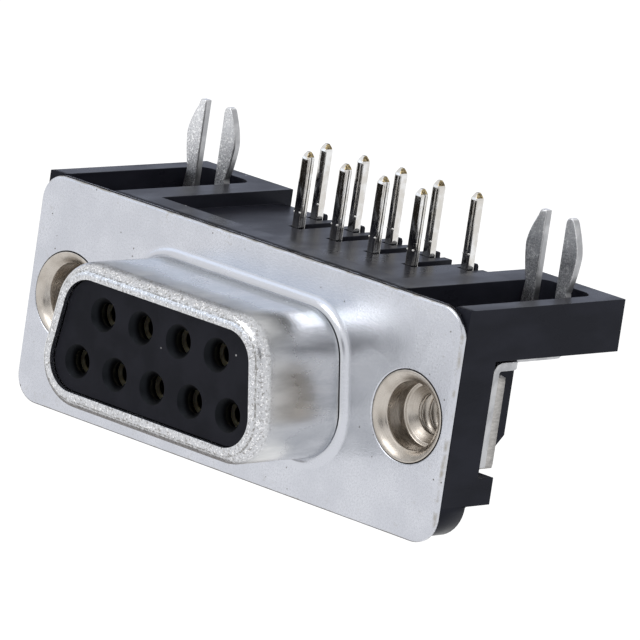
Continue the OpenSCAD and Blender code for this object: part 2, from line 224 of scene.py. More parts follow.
class Nodes:
    """Short names for building one material's node tree."""

    def __init__(self, name):
        self.material = bpy.data.materials.new(name)
        self.material.use_nodes = True
        self.tree = self.material.node_tree
        self.shader = self.tree.nodes["Principled BSDF"]
        self.place = self.tree.nodes.new("ShaderNodeTexCoord").outputs["Object"]

    def add(self, kind, **settings):
        """A new shader node of a kind, with its settings."""
        node = self.tree.nodes.new("ShaderNode" + kind)
        for key, value in settings.items():
            setattr(node, key, value)
        return node

    def link(self, source, target):
        self.tree.links.new(source, target)

    def set(self, **values):
        """Links or sets the surface's own inputs, named with _ for each space."""
        for key, value in values.items():
            socket = self.shader.inputs[key.replace("_", " ")]
            if hasattr(value, "is_output"):
                self.link(value, socket)
            else:
                socket.default_value = value

    def stretched(self, scale):
        """The object's own coordinates, in millimetres, scaled along each axis."""
        node = self.add("Mapping")
        node.inputs["Scale"].default_value = [s / MM for s in scale]
        self.link(self.place, node.inputs["Vector"])
        return node.outputs["Vector"]

    def noise(self, scale, detail=3, rough=0.55, stretch=(1, 1, 1)):
        """Cloudy noise with about scale clouds to a millimetre, stretched along each axis."""
        node = self.add("TexNoise")
        self.link(self.stretched([scale * s for s in stretch]), node.inputs["Vector"])
        node.inputs["Scale"].default_value = 1
        node.inputs["Detail"].default_value = detail
        node.inputs["Roughness"].default_value = rough
        return node.outputs["Fac"]

    def cells(self, scale):
        """Distance to the nearest of scattered dots, about scale of them to a millimetre."""
        node = self.add("TexVoronoi")
        self.link(self.stretched((scale, scale, scale)), node.inputs["Vector"])
        node.inputs["Scale"].default_value = 1
        return node.outputs["Distance"]

    def step(self, value, low, high, to_low=0.0, to_high=1.0):
        """Maps low..high smoothly to to_low..to_high and holds it outside."""
        node = self.add("MapRange", interpolation_type="SMOOTHSTEP", clamp=True)
        self.link(value, node.inputs["Value"])
        for key, number in zip(("From Min", "From Max", "To Min", "To Max"), (low, high, to_low, to_high)):
            node.inputs[key].default_value = number
        return node.outputs["Result"]

    def math(self, operation, a, b=None):
        """One sum on values or on other nodes' outputs."""
        node = self.add("Math", operation=operation)
        for socket, value in zip(node.inputs, (a, b)):
            if hasattr(value, "is_output"):
                self.link(value, socket)
            elif value is not None:
                socket.default_value = value
        return node.outputs["Value"]

    def axis(self, index):
        """The object's own x, y or z, in millimetres."""
        node = self.add("SeparateXYZ")
        self.link(self.stretched((1, 1, 1)), node.inputs["Vector"])
        return node.outputs[index]

    def facing(self, index):
        """How squarely the surface faces along one of the object's axes, either way."""
        node = self.add("SeparateXYZ")
        self.link(self.place.node.outputs["Normal"], node.inputs["Vector"])
        return self.math("ABSOLUTE", node.outputs[index])

    def mix(self, amount, a, b):
        """Colour a turning into colour b as the amount goes from 0 to 1."""
        node = self.add("Mix", data_type="RGBA")
        self.link(amount, node.inputs["Factor"])
        # The node has a set of sockets for each kind of data, and these are the ones for colours
        colour_a, colour_b, result = node.inputs[6], node.inputs[7], node.outputs[2]
        for socket, value in ((colour_a, a), (colour_b, b)):
            if hasattr(value, "is_output"):
                self.link(value, socket)
            else:
                socket.default_value = (*value, 1)
        return result

    def bump(self, height, depth, strength=1.0, before=None):
        """A bump whose height of 1 stands for depth millimetres."""
        node = self.add("Bump")
        node.inputs["Strength"].default_value = strength
        node.inputs["Distance"].default_value = depth * MM
        self.link(height, node.inputs["Height"])
        if before is not None:
            self.link(before, node.inputs["Normal"])
        return node.outputs["Normal"]


def tin_flange():
    """Satin tin plate: fine pits, faint scratches, dark specks, worn edges."""
    m = Nodes("tin_flange")
    clouds = m.noise(0.35, 4)
    grain = m.noise(9, 4, 0.7)
    specks = m.cells(1.3)
    scratches = m.noise(1.2, 5, 0.65, (1, 1, 9))
    x = m.math("ABSOLUTE", m.axis(0))
    z = m.math("ABSOLUTE", m.axis(2))
    edge_x = m.step(x, FLANGE_W / 2 - 0.16, FLANGE_W / 2 - 0.02)
    edge_z = m.step(z, FLANGE_H / 2 - 0.16, FLANGE_H / 2 - 0.02)
    wear = m.math("MULTIPLY", m.math("MAXIMUM", edge_x, edge_z), m.step(m.noise(1.4, 5), 0.42, 0.66))
    tone = m.mix(m.step(clouds, 0.35, 0.65), (0.54, 0.555, 0.605), (0.61, 0.625, 0.675))
    tone = m.mix(m.step(grain, 0.42, 0.62, 0.0, 0.5), tone, (0.47, 0.485, 0.53))
    tone = m.mix(m.step(specks, 0.045, 0.07), (0.12, 0.11, 0.10), tone)
    near_x = m.step(x, FLANGE_W / 2 - 2.4, FLANGE_W / 2 - 0.3)
    near_z = m.step(z, FLANGE_H / 2 - 1.2, FLANGE_H / 2 - 0.1)
    stains = m.step(m.noise(1.7, 7, 0.72), 0.56, 0.70, 0, 0.55)
    tone = m.mix(m.math("MULTIPLY", m.math("MAXIMUM", near_x, near_z), stains), tone, (0.33, 0.31, 0.27))
    wear = m.math("MULTIPLY", wear, m.step(m.axis(1), 0.08, 0.22, 1.0, 0.35))
    tone = m.mix(wear, tone, (0.36, 0.345, 0.32))
    from_wall = m.math("MAXIMUM", m.math("SUBTRACT", x, SHELL_W / 2), m.math("SUBTRACT", z, SHELL_H / 2))
    pressed = m.step(from_wall, 1.6, 4.6, 0.15, 0.20)
    rough = m.math("ADD", pressed, m.step(m.math("MULTIPLY", grain, clouds), 0.12, 0.4, 0.0, 0.10))
    normal = m.bump(grain, 0.011, 0.8)
    normal = m.bump(scratches, 0.004, 0.35, normal)
    m.set(Base_Color=tone, Metallic=1.0, Roughness=rough, Normal=normal)
    return m.material


def tin_drawn():
    """The drawn wall: streaked along the draw, dull near the flange, with painted shade darkening the rolled
    edge and dark marks and painted glints speckled over it.
    """
    m = Nodes("tin_drawn")
    depth = m.axis(1)
    streaks = m.noise(1.1, 5, 0.6, (1, 0.22, 1))
    clouds = m.noise(0.5, 4)
    specks = m.noise(6.5, 4, 0.75)
    nose = m.step(depth, -SHELL_DEPTH + 0.3, -SHELL_DEPTH + 1.3, 1.0, 0.0)
    root = m.step(depth, -1.1, -0.25)
    tone = m.mix(m.step(streaks, 0.35, 0.68), (0.60, 0.61, 0.62), (0.76, 0.765, 0.77))
    tone = m.mix(m.math("MULTIPLY", root, m.step(clouds, 0.3, 0.6)), tone, (0.45, 0.47, 0.49))
    band = m.math("MULTIPLY", m.step(depth, -1.75, -1.45), m.step(depth, -0.6, -0.35, 1.0, 0.0))
    band = m.math("MULTIPLY", band, m.step(m.axis(2), SHELL_H / 2 - 0.7, SHELL_H / 2 - 0.2, 0.0, 0.75))
    tone = m.mix(m.math("MULTIPLY", band, m.step(specks, 0.3, 0.6, 1.0, 0.55)), tone, (0.40, 0.44, 0.455))
    tone = m.mix(m.step(depth, -0.5, -0.12), tone, (0.575, 0.59, 0.64))
    # Painted shade: the rolled nose is darkened, for the darker surroundings it reflects
    tone = m.mix(m.math("MULTIPLY", nose, 0.8), tone, (0.52, 0.53, 0.56))
    marks = m.math("MULTIPLY", nose, m.step(specks, 0.53, 0.62, 0.0, 0.9))
    tone = m.mix(marks, tone, (0.27, 0.26, 0.25))
    # Painted glints: near-white specks over the rolled nose
    painted_glints = m.math("MULTIPLY", nose, m.step(m.noise(8, 4, 0.75), 0.53, 0.61, 0.0, 0.9))
    tone = m.mix(painted_glints, tone, (0.93, 0.93, 0.94))
    drawn = m.math("ADD", m.math("MULTIPLY", streaks, 0.6), m.math("MULTIPLY", clouds, 0.4))
    rough = m.step(drawn, 0.3, 0.7, 0.17, 0.30)
    wiped = m.math("MULTIPLY", m.step(depth, -SHELL_DEPTH + 0.2, -SHELL_DEPTH + 0.7),
                   m.step(depth, -SHELL_DEPTH + 0.9, -SHELL_DEPTH + 3.2, 0.18, 0.0))
    rough = m.math("ADD", rough, wiped)
    normal = m.bump(clouds, 0.03, 0.4)
    normal = m.bump(specks, 0.012, 0.5, normal)
    normal = m.bump(m.noise(11, 3, 0.7, (1, 0.45, 1)), 0.004, 0.5, normal)
    m.set(Base_Color=tone, Metallic=1.0, Roughness=rough, Normal=normal)
    return m.material


def painted_crease_reflection():
    """The crease where the drawn wall leaves the flange, with a painted dark reflection at the upper right
    end alone.
    """
    m = Nodes("painted_crease_reflection")
    # Painted dark reflection in the crease, only at its upper right end
    shown = m.math("MULTIPLY", m.step(m.axis(0), 5.6, 7.4), m.step(m.axis(2), -2.6, -1.0))
    tone = m.mix(shown, (0.50, 0.515, 0.56), (0.10, 0.10, 0.11))
    m.set(Base_Color=tone, Metallic=1.0, Roughness=m.step(m.noise(4, 3), 0.3, 0.7, 0.4, 0.55))
    return m.material


def painted_nose_line():
    """A broken dark line round the nose: a painted dark reflection between the nose's two highlights."""
    m = Nodes("painted_nose_line")
    breaks = m.noise(6, 4, 0.7)
    # Painted dark reflection, broken along the line
    tone = m.mix(m.step(breaks, 0.45, 0.6), (0.26, 0.255, 0.25), (0.62, 0.63, 0.65))
    m.set(Base_Color=tone, Metallic=1.0, Roughness=0.36, Normal=m.bump(breaks, 0.01, 0.6))
    return m.material


def moulded(name, tone, low, high, dust, grain_depth, funnels=False):
    """Black moulded plastic with a fine skin, faint flow marks and a little pale dust.

    Funnels are the contacts' entries: darker than the face as painted shade in their recesses, and glossier.
    """
    m = Nodes(name)
    skin_grain = m.noise(14, 3, 0.6)
    flow = m.noise(0.5, 4, 0.55, (1, 0.4, 1))
    dots = m.cells(dust)
    spread = m.step(m.noise(0.8, 2), 0.52, 0.60)
    speck = m.math("MULTIPLY", m.step(dots, 0.035, 0.06, 1.0, 0.0), spread)
    base = m.mix(m.step(flow, 0.35, 0.65), tone, [c * 1.5 for c in tone])
    base = m.mix(speck, base, (0.45, 0.45, 0.46))
    shine = 0.07
    if funnels:
        sloped = m.step(m.facing(1), 0.80, 0.95, 1.0, 0.0)
        # Painted shade: the funnels' sloped walls are darkened nearly to black
        base = m.mix(sloped, base, (0.002, 0.002, 0.0025))
        shine = m.step(sloped, 0, 1, shine, 0.16)
    m.set(Base_Color=base, Metallic=0.0, Roughness=m.step(flow, 0.35, 0.65, low, high),
          Specular_IOR_Level=shine, Specular_Tint=(0.74, 0.84, 1.0, 1),
          Normal=m.bump(skin_grain, grain_depth, 0.5))
    return m.material


def bright_tin():
    """Bright plating on the tails: mirror-like, with fine pull marks along the tail."""
    m = Nodes("bright_tin")
    pulls = m.noise(7, 4, 0.7, (1, 1, 0.25))
    clouds = m.noise(1.6, 3)
    tone = m.mix(m.step(clouds, 0.4, 0.65), (0.62, 0.60, 0.57), (0.76, 0.76, 0.76))
    m.set(Base_Color=tone, Metallic=1.0, Roughness=m.step(pulls, 0.35, 0.7, 0.07, 0.24),
          Normal=m.bump(pulls, 0.004, 0.5))
    return m.material


def cut_brass():
    """Bare alloy where the tails were cut off."""
    m = Nodes("cut_brass")
    tears = m.noise(9, 4, 0.7)
    tone = m.mix(m.step(tears, 0.4, 0.62), (0.06, 0.045, 0.03), (0.46, 0.37, 0.20))
    m.set(Base_Color=tone, Metallic=1.0, Roughness=m.step(tears, 0.3, 0.7, 0.16, 0.34),
          Normal=m.bump(tears, 0.02, 0.6))
    return m.material


def dull_tin():
    """Grainy, dull tin on the board locks, paler towards the top, with painted glints in the grain."""
    m = Nodes("dull_tin")
    grain = m.noise(11, 4, 0.75)
    clouds = m.noise(0.9, 4)
    painted_sparkle = m.noise(7.5, 3, 0.7)
    rolled = m.step(m.math("MAXIMUM", m.facing(1), m.facing(2)), 0.6, 0.9)
    # Paler tones from here up towards the top of the prongs
    paler_upward = m.step(m.axis(2), LOCK_PALE_Z - 2.2, LOCK_PALE_Z + 1.0)
    dark = m.mix(paler_upward, (0.30, 0.30, 0.32), (0.60, 0.605, 0.625))
    light = m.mix(paler_upward, (0.74, 0.745, 0.76), (0.82, 0.825, 0.84))
    tone = m.mix(m.step(grain, 0.4, 0.62), dark, light)
    # Painted glints: near-white sparkle in the grain
    tone = m.mix(m.step(painted_sparkle, 0.55, 0.63), tone, (0.98, 0.98, 0.98))
    cut = m.mix(m.step(clouds, 0.4, 0.6), (0.36, 0.365, 0.38), (0.50, 0.505, 0.52))
    tone = m.mix(rolled, cut, tone)
    m.set(Base_Color=tone, Metallic=1.0, Roughness=m.step(clouds, 0.3, 0.7, 0.30, 0.42),
          Normal=m.bump(m.math("MULTIPLY", grain, rolled), 0.022, 0.9))
    return m.material


def warm_nickel():
    """Warm nickel plating on the threaded inserts, with turning marks."""
    m = Nodes("warm_nickel")
    rings = m.noise(2.0, 4, 0.6, (1, 9, 1))
    clouds = m.noise(1.1, 4)
    tone = m.mix(m.step(clouds, 0.35, 0.65), (0.43, 0.393, 0.352), (0.52, 0.482, 0.44))
    m.set(Base_Color=tone, Metallic=1.0, Roughness=m.step(rings, 0.3, 0.7, 0.23, 0.34),
          Normal=m.bump(rings, 0.002, 0.3))
    return m.material


def dull_nickel():
    """The inserts' square feet, duller than their flares."""
    m = Nodes("dull_nickel")
    grain = m.noise(7, 4, 0.65, (1, 0.3, 1))
    tone = m.mix(m.step(grain, 0.35, 0.7), (0.35, 0.34, 0.33), (0.50, 0.485, 0.47))
    m.set(Base_Color=tone, Metallic=1.0, Roughness=0.38, Normal=m.bump(grain, 0.01, 0.6))
    return m.material


def glint_pale_tin():
    """Near-white metal on the burrs: raised bumps whose pale colour is a painted glint."""
    m = Nodes("glint_pale_tin")
    grain = m.noise(20, 2)
    m.set(Base_Color=(0.92, 0.91, 0.89, 1), Metallic=0.6, Roughness=m.step(grain, 0.3, 0.7, 0.45, 0.6))
    return m.material


def socket_brass():
    """Pale brass at the mouths of the contacts' split barrels, dark with shade inside."""
    m = Nodes("socket_brass")
    clouds = m.noise(3, 3)
    tone = m.mix(m.step(clouds, 0.35, 0.65), (0.80, 0.71, 0.46), (0.95, 0.88, 0.62))
    mouth = wide_low.y + SOCKET_SUNK
    tone = m.mix(m.step(m.axis(1), mouth + 0.03, mouth + 0.15), tone, (0.03, 0.024, 0.012))
    m.set(Base_Color=tone, Metallic=1.0, Roughness=0.35)
    return m.material


# ---------------------------------------------------------------- front shell

def d_ring(out, y, corner_steps=14, side_steps=10):
    """The D's outline, moved outwards and set at a depth."""
    low_x = SHELL_W / 2 - SHELL_CORNER
    corner_z = SHELL_H / 2 - SHELL_CORNER
    high_x = low_x - 2 * corner_z * tan(SHELL_LEAN)
    lean = degrees(SHELL_LEAN)
    corners = [((high_x, corner_z), lean, 90), ((-high_x, corner_z), 90, 180 - lean),
               ((-low_x, -corner_z), 180 - lean, 270), ((low_x, -corner_z), 270, 360 + lean)]
    turns = [arc(centre, SHELL_CORNER + out, start, stop, corner_steps) for centre, start, stop in corners]
    points = []
    for turn, after in zip(turns, turns[1:] + turns[:1]):
        leave, reach = Vector(turn[-1]), Vector(after[0])
        points += turn + [tuple(leave.lerp(reach, i / side_steps)) for i in range(1, side_steps)]
    return [(x, y, z) for x, z in points]


def flange_ring(out, y, steps=12):
    """The flange's outline, moved outwards and set at a depth."""
    x, z, r = FLANGE_W / 2 - FLANGE_R, FLANGE_H / 2 - FLANGE_R, FLANGE_R + out
    corners = [((x, z), 0), ((-x, z), 90), ((-x, -z), 180), ((x, -z), 270)]
    return [(px, y, pz) for centre, a in corners for px, pz in arc(centre, r, a, a + 90, steps)]


def hole_ring(side, r, y):
    """A circle round one screw hole's axis, set at a depth."""
    return round_ring(r, y, 72, side * SCREW_X)


def flat(ring):
    """A ring seen from the front, as (x, z) points."""
    return [(p[0], p[2]) for p in ring]


def front_shell():
    """Drawn D and its flange as one sheet, with rolled edges."""
    edge_r, burr_r, hole_r, lip_r = 0.16, 0.05, 2.425, 0.1
    hole_back_r = hole_r - 0.2
    crease_in, crease_up = 0.01, 0.316
    line_step = 8
    wall = [(ROOT_R, 0)] + arc((ROOT_R, ROOT_R), ROOT_R, 270, 209, 6)[1:]
    crease = len(wall)
    wall += [(-crease_in, crease_up)] + arc((ROOT_R, ROOT_R), ROOT_R, 201, 180, 3)
    straight = SHELL_DEPTH - ROOT_R - NOSE_R
    wall += [(0, ROOT_R + straight * i / 8) for i in range(1, 8)]
    line = len(wall) + line_step
    wall += arc((-NOSE_R, SHELL_DEPTH - NOSE_R), NOSE_R, 0, 90, 12)
    wall += [(-LIP_W, SHELL_DEPTH - 0.02), (-LIP_W - 0.02, SHELL_DEPTH - SHEET_T / 2)]
    inner = [(-LIP_W, SHELL_DEPTH - SHEET_T)]
    inner += arc((-NOSE_R, SHELL_DEPTH - NOSE_R), NOSE_R - SHEET_T, 90, 0, 6)
    inner += arc((ROOT_R, ROOT_R), ROOT_R + SHEET_T, 180, 270, 6)
    verts, faces = skin([d_ring(out, -up) for out, up in wall + inner])
    around = len(verts) // len(wall + inner)
    # The crease's faces, which take the painted dark reflection
    dark = range((crease - 1) * around, (crease + 1) * around)
    # The ring round the nose that takes the painted dark line
    lined = range(line * around, (line + 1) * around)
    drawn = [f for i, f in enumerate(faces) if i not in dark and i not in lined]
    creased = [faces[i] for i in dark]

    outline = arc((-edge_r, edge_r), edge_r, -90, 0, 6) + [(0, SHEET_T - burr_r), (-burr_r, SHEET_T)]
    rim = skin([flange_ring(out, y) for out, y in outline])
    lips = []
    lip = arc((hole_r + lip_r, lip_r), lip_r, 270, 180, 5) + [(hole_back_r, SHEET_T)]
    for side in (-1, 1):
        lips.append(skin([hole_ring(side, r, y) for r, y in lip]))

    def face(y, inset, grown):
        holes = [flat(d_ring(ROOT_R, y))] + [flat(hole_ring(s, grown, y)) for s in (-1, 1)]
        return flat_fill(flat(flange_ring(-inset, y)), holes, lambda x, z: (x, y, z))

    front = face(0, edge_r, hole_r + lip_r)
    back = face(SHEET_T, burr_r, hole_back_r)
    parts = [(verts, drawn, 1), (verts, creased, 2), (verts, [faces[i] for i in lined], 3)]
    parts += [(*rim, 0), (*front, 0), (*back, 0)] + [(*lip, 0) for lip in lips]
    looks = [tin_flange(), tin_drawn(), painted_crease_reflection(), painted_nose_line()]
    return make_piece("drawn_shell", parts, looks, ["front_shell"], 50)


# ---------------------------------------------------------------- threaded inserts

def square_ring(half, corner, y, steps=96):
    """A rounded square met at the same angles as the round rings."""
    points = []
    for i in range(steps):
        a = 2 * pi * i / steps
        c, s = cos(a), sin(a)
        reach = half / max(abs(c), abs(s))
        core = half - corner
        if min(abs(c), abs(s)) * reach > core:
            along = core * (abs(c) + abs(s))
            reach = along + (along ** 2 - 2 * core ** 2 + corner ** 2) ** 0.5
        points.append((reach * c, y, reach * s))
    return points


def thread_ring(y, start, steps=96):
    """One ring of a helical thread, which follows a short plain lead-in."""
    lead_in, blunt = 0.3, 0.8
    threaded = y - start > lead_in * THREAD_PITCH
    points = []
    for i in range(steps):
        a = 2 * pi * i / steps
        turn = (y - start) / THREAD_PITCH + a / (2 * pi)
        ridge = (0.5 + 0.5 * cos(2 * pi * turn)) ** blunt if threaded else 1
        r = THREAD_ROOT_R - (THREAD_ROOT_R - THREAD_CREST_R) * ridge
        points.append((r * cos(a), y, r * sin(a)))
    return points


def threaded_insert(side):
    """Flared sleeve with a cup, a 4-40 thread and a square foot."""
    barrel_r, cup_r, foot_half = 2.0, 1.75, (insert_high.x - insert_low.x) / 2
    foot_t, foot_corner, back_bevel = 1.1, 0.15, 0.05
    back_y = insert_high.y
    foot_y, cup_y, thread_y = back_y - foot_t, 1.75, 2.15
    mouth_y, mouth_r, thread_step = 0.42, 0.09, 0.03
    section = [(barrel_r, foot_y), (barrel_r, mouth_y)]
    section += [(2.2, 0.24), (2.36, 0.1), (2.39, 0.05), (2.385, 0.015), (2.35, 0.0)]
    section += [(2.28, 0.02), (2.12, 0.12), (1.96, 0.26), (1.87, 0.37)]
    section += [(cup_r + mouth_r - mouth_r * sin(radians(a)), mouth_y + 0.12 * (1 - cos(radians(a))))
                for a in (20, 50, 90)]
    section += [(cup_r, y) for y in (0.7, 1.0, 1.3, cup_y - 0.08)]
    section += [(cup_r - 0.03, cup_y - 0.02), (cup_r - 0.09, cup_y), (1.54, cup_y + 0.01)]
    section += [(1.52, cup_y + 0.03), (1.3, cup_y + 0.22), (THREAD_CREST_R + 0.03, thread_y - 0.03)]
    threads = int((back_y - thread_y) / thread_step)
    rings = [square_ring(foot_half, foot_corner, foot_y)] + [round_ring(r, y) for r, y in section]
    rings += [thread_ring(thread_y + (back_y - thread_y) * i / threads, thread_y - 0.05)
              for i in range(threads + 1)]
    rings += [round_ring(THREAD_ROOT_R + 0.06, back_y)]
    rings += [square_ring(foot_half - back_bevel, foot_corner, back_y)]
    rings += [square_ring(foot_half, foot_corner, back_y - back_bevel)]
    verts, faces = skin(rings, closed_along=True)
    verts = [(x + side * SCREW_X, y, z) for x, y, z in verts]
    around = len(rings[0])
    sleeve, foot = faces[around:-3 * around], faces[:around] + faces[-3 * around:]
    name = "left" if side < 0 else "right"
    return make_piece(f"insert_{name}", [(verts, sleeve, 0), (verts, foot, 1)],
                      [METAL["insert"], METAL["foot"]], [f"threaded_insert_{name}"], 50)


# ---------------------------------------------------------------- contacts

def bead(centre, r=0.07, around=10, rows=6):
    """A tiny raised burr left by the coining tool."""
    rings = []
    for k in range(rows + 1):
        a = pi * (k + 0.15) / (rows + 0.3)
        rings.append([(centre[0] + r * sin(a) * cos(2 * pi * i / around),
                       centre[1] + r * sin(a) * sin(2 * pi * i / around), centre[2] - r * cos(a))
                      for i in range(around)])
    return (*skin(rings, cap_start=True, cap_end=True), 3)


def tail_section(width, depth, corner, seam_side, seam):
    """Section of a folded tail, as (across, through) points, with the seam's groove on one side."""
    w, d = width / 2, depth / 2
    corners = []
    for sx, sy, a in ((1, 1, 0), (-1, 1, 90), (-1, -1, 180), (1, -1, 270)):
        corners += arc((sx * (w - corner), sy * (d - corner)), corner, a, a + 90, 3)
    grooved = [(w, -0.05), (w - seam * 0.8, -0.015), (w - seam, 0), (w - seam * 0.8, 0.015), (w, 0.05)]
    flush = [(w, through) for _, through in grooved]
    right, left = (flush, grooved) if seam_side < 0 else (grooved, flush)
    return right + corners[:8] + [(-across, -through) for across, through in left] + corners[8:]


def contact(number):
    """Split socket, neck and a folded tail bent up to the board."""
    low, high = size_of(f"contact_{number}")
    wide = number <= 5
    x = (low.x + high.x) / 2
    row_z = -ROW_GAP / 2 if wide else ROW_GAP / 2
    tail_y = high.y - TAIL_T / 2
    parts = socket_parts(x, low.y + SOCKET_SUNK, row_z)
    parts += tail_parts(x, tail_y, row_z, -1 if wide else 1)
    front_y, burr_z = tail_y - TAIL_T / 2 + 0.05, SEAT_Z + 0.08
    burrs = [(-0.19, 0, 0), (0.19, 0, 0)] + ([] if wide else [(0.2, 0.12, 0.36)])
    # Raised burrs, coloured near-white as painted glints
    parts += [bead((x + dx, front_y + dy, burr_z + dz)) for dx, dy, dz in burrs]
    looks = [METAL[key] for key in ("contact", "cut", "socket", "burr")]
    return make_piece(f"contact_piece_{number}", parts, looks, [f"contact_{number}"], 38)


def socket_parts(x, front_y, z):
    """The barrel's two tines, as C-shaped shells, joined behind the slit."""
    outer, bore, half_slit, mouth_inset = CONTACT_D / 2, 0.53, 0.08, 0.97
    slit_end, floor_y, back_y = front_y + 3.2, front_y + 4.6, 1.4
    parts = []
    for side in (-1, 1):
        start = 90 if side < 0 else -90
        shells = []
        for r in (outer, bore):
            gap = degrees(atan2(half_slit, r))
            shells.append(arc((0, 0), r, start + gap, start + 180 - gap, 14))
        profile = shells[0] + shells[1][::-1]
        rings = [[(x + px * k, y, z + pz * k) for px, pz in profile]
                 for y, k in ((front_y, mouth_inset), (front_y, 1), (slit_end, 1))]
        parts.append((*skin(rings, cap_start=True, cap_end=True), 2))
    core = 0.02
    closed = [(bore, slit_end), (bore, floor_y), (core, floor_y), (core, back_y), (outer, back_y),
              (outer, slit_end)]
    rings = [[(x + px, y, z + pz) for px, pz in arc((0, 0), r, 0, 360, 32)[:-1]] for r, y in closed]
    parts.append((*skin(rings, closed_along=True), 2))
    return parts


def tail_parts(x, tail_y, row_z, seam_side):
    """The tail swept along its bent path, with a rounded tip whose right side shows where it was cut."""
    neck_y, bend_r, taper, tip_w = 1.9, 1.0, 0.42, 0.2
    corner, seam, step_z, up = 0.11, 0.09, SEAT_Z + 0.06, pi / 2
    path = [(neck_y, row_z, 0.0), (tail_y - bend_r, row_z, 0.0)]
    for i in range(1, 11):
        a = up * i / 10
        path.append((tail_y - bend_r + bend_r * sin(a), row_z + bend_r - bend_r * cos(a), a))
    path += [(tail_y, step_z + rise, up) for rise in (-0.10, -0.05, -0.02, 0.02, 0.05, 0.10)]
    full = tail_section(TAIL_W, TAIL_T, corner, seam_side, seam)
    rings = [place_section(full, x, y, z, a) for y, z, a in path]
    for share in (0, 0.15, 0.35, 0.55, 0.75, 0.9, 1.0):
        z = TAIL_END_Z - taper * (1 - share)
        across, through = (size - (size - tip_w) * share ** 1.7 for size in (TAIL_W, TAIL_T))
        section = tail_section(across, through, corner * (1 - 0.55 * share), seam_side, seam * (1 - share))
        rings.append(place_section(section, x, tail_y, z, up))
    verts, faces = skin(rings, cap_start=True, cap_end=True)
    cut_rings = 5
    cut_from = (len(rings) - cut_rings) * len(rings[0])
    cut = [f for f in faces if min(f) >= cut_from and faces_right(verts, f, x)]
    plated = [f for f in faces if min(f) < cut_from or not faces_right(verts, f, x)]
    return [(verts, plated, 0), (verts, cut, 1)]


def faces_right(verts, face, x):
    """True for the cut end and for the tip's slope on the right."""
    off_middle = 0.075
    middle = sum((Vector(verts[i]) for i in face), Vector()) / len(face)
    return len(face) > 4 or middle.x > x + off_middle


def place_section(section, x, y, z, turn):
    """Sets a section across the path: turn is 0 where the path runs back, a right angle where it runs up."""
    return [(x + across, y + through * sin(turn), z - through * cos(turn)) for across, through in section]


def comb_nubs():
    """Gate stubs standing at the comb's rear edge, one behind each tail of the back row."""
    parts = []
    behind_tails, below_seat, off_centre = 0.38, 0.76, 0.1
    y, z = wide_high.y + behind_tails, SEAT_Z - below_seat
    for k in range(5):
        x = wide_low.x + CONTACT_D / 2 + k * PITCH - off_centre
        # Half width, half depth and height of each level, a little different from stub to stub
        levels = [(0.19, 0.13, -0.25), (0.18, 0.12, 0.12 + 0.03 * (k % 2)),
                  (0.13, 0.08, 0.2 + 0.03 * (k % 3))]
        rings = [[(x + a, y + b, z + rise) for a, b in ((-w, -d), (w, -d), (w, d), (-w, d))]
                 for w, d, rise in levels]
        parts.append((*skin(rings, cap_start=True, cap_end=True), 0))
    return make_piece("comb_nubs", parts, [housing_black], [], 30)


# ---------------------------------------------------------------- board locks

def lock_point(u, s, lift):
    """Maps the flat blank onto the bent bracket: u across, s along the sheet, lift off its middle."""
    (y, z), (ny, nz) = lock_path(s)
    return (u, y + ny * lift, z + nz * lift)


def lock_stretches():
    """The bracket's middle line: its bends' radius, the places it runs through and its straight lengths."""
    wing_t, strap_gap, bend, leg_front_y = 2.8, 0.1, 0.6, 2.9
    r = bend - LOCK_T / 2
    leg_y = leg_front_y + LOCK_T / 2
    strap_z = SEAT_Z - wing_t - strap_gap - LOCK_T / 2
    fork_y = lock_high.y - LOCK_T / 2
    return dict(r=r, leg_y=leg_y, strap_z=strap_z, fork_y=fork_y, quarter=r * pi / 2,
                leg=strap_z - r - lock_low.z, strap=fork_y - leg_y - 2 * r)


def lock_path(s):
    """Place and normal of the bracket's middle line after a length s, from the leg's end."""
    p = lock_stretches()
    r, quarter = p["r"], p["quarter"]
    if s <= p["leg"]:
        return (p["leg_y"], lock_low.z + s), (-1, 0)
    s -= p["leg"]
    if s <= quarter:
        a = s / r
        return (p["leg_y"] + r - r * cos(a), p["strap_z"] - r + r * sin(a)), (-cos(a), sin(a))
    s -= quarter
    if s <= p["strap"]:
        return (p["leg_y"] + r + s, p["strap_z"]), (0, 1)
    s -= p["strap"]
    if s <= quarter:
        a = s / r
        return (p["fork_y"] - r + r * sin(a), p["strap_z"] + r - r * cos(a)), (-sin(a), cos(a))
    return (p["fork_y"], p["strap_z"] + r + s - quarter), (-1, 0)


def bezier(a, b, c, steps):
    """Points along a curve that leaves a and reaches c, pulled towards b; a is left out."""
    return [((1 - t) ** 2 * a[0] + 2 * t * (1 - t) * b[0] + t * t * c[0],
             (1 - t) ** 2 * a[1] + 2 * t * (1 - t) * b[1] + t * t * c[1])
            for t in [i / steps for i in range(1, steps + 1)]]


